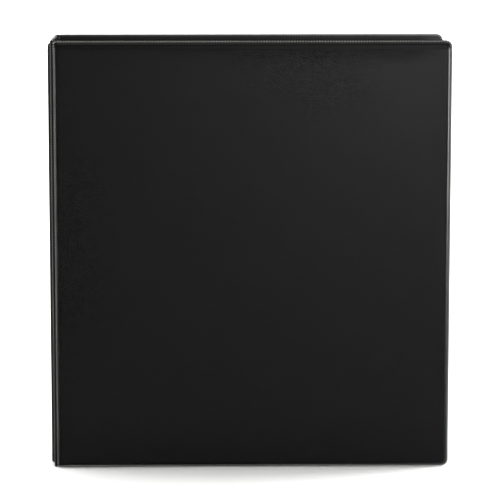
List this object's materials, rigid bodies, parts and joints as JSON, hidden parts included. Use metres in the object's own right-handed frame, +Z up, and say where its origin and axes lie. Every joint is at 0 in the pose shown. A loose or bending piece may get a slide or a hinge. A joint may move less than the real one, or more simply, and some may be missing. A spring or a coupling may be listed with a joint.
{
  "type": "ring binder",
  "caption": "Black vinyl view ring binder with clear overlay covers, a wide spine, inner pockets and a D-ring mechanism opened by triggers.",
  "frame": {"origin": "under the middle of the closed binder's bounding box, on the surface that it stands on", "axes": "+Z up along the spine, +X from the spine to the fore-edge, +Y from the front cover to the back cover"},
  "size_m": [0.2764, 0.076, 0.297],
  "materials": {
    "black_vinyl": "fine pebble-grain embossed black PVC sheet",
    "clear_film": "slightly hazy clear PVC film",
    "chipboard": "grey-brown binder's board",
    "nickel_steel": "bright nickel-plated steel",
    "zinc_steel": "dull zinc-plated steel"
  },
  "bodies": {
    "back_cover": {"back_liner": "black_vinyl", "back_board": "chipboard", "back_outer_vinyl": "black_vinyl", "back_clear_overlay": "clear_film", "back_inner_pocket": "black_vinyl", "ring_housing": "nickel_steel", "top_rivet": "nickel_steel", "bottom_rivet": "nickel_steel", "top_trigger_pin": "nickel_steel", "bottom_trigger_pin": "nickel_steel"},
    "spine": {"spine_liner": "black_vinyl", "spine_board": "chipboard", "spine_outer_vinyl": "black_vinyl", "spine_clear_overlay": "clear_film", "front_hinge_vinyl": "black_vinyl", "back_hinge_vinyl": "black_vinyl"},
    "front_cover": {"front_liner": "black_vinyl", "front_board": "chipboard", "front_outer_vinyl": "black_vinyl", "front_clear_overlay": "clear_film", "front_inner_pocket": "black_vinyl"},
    "spine_side_rings": {"spine_side_blade": "zinc_steel", "top_ring_arc": "nickel_steel", "middle_ring_arc": "nickel_steel", "bottom_ring_arc": "nickel_steel"},
    "fore_edge_rings": {"fore_edge_blade": "zinc_steel", "top_ring_post": "nickel_steel", "middle_ring_post": "nickel_steel", "bottom_ring_post": "nickel_steel"},
    "top_trigger": {"top_trigger": "nickel_steel"},
    "bottom_trigger": {"bottom_trigger": "nickel_steel"}
  },
  "joints": [
    {"name": "back_hinge", "type": "hinge", "parent": "back_cover", "child": "spine", "pos_m": [-0.1357, 0.03455, 0.1485], "axis": [0, 0, -1], "range_deg": [0, 180], "deforming": ["back_hinge_vinyl"]},
    {"name": "front_hinge", "type": "hinge", "parent": "spine", "child": "front_cover", "pos_m": [-0.1357, -0.03545, 0.1485], "axis": [0, 0, -1], "range_deg": [0, 180], "deforming": ["front_hinge_vinyl"]},
    {"name": "rings_open", "type": "hinge", "parent": "back_cover", "child": "spine_side_rings", "pos_m": [-0.11564, 0.03, 0.1485], "axis": [0, 0, -1], "range_deg": [0, 16]},
    {"name": "fore_edge_rings_open", "type": "hinge", "parent": "back_cover", "child": "fore_edge_rings", "pos_m": [-0.08384, 0.03, 0.1485], "axis": [0, 0, 1], "range_deg": [0, 16]},
    {"name": "top_trigger_turn", "type": "hinge", "parent": "back_cover", "child": "top_trigger", "pos_m": [-0.09974, 0.02925, 0.288], "axis": [-1, 0, 0], "range_deg": [0, 30]},
    {"name": "bottom_trigger_turn", "type": "hinge", "parent": "back_cover", "child": "bottom_trigger", "pos_m": [-0.09974, 0.02925, 0.009], "axis": [1, 0, 0], "range_deg": [0, 30]}
  ],
  "couplings": [
    {"joint": "fore_edge_rings_open", "follows": "rings_open", "ratio": 1},
    {"joint": "top_trigger_turn", "follows": "rings_open", "ratio": 1.875},
    {"joint": "bottom_trigger_turn", "follows": "rings_open", "ratio": 1.875}
  ]
}
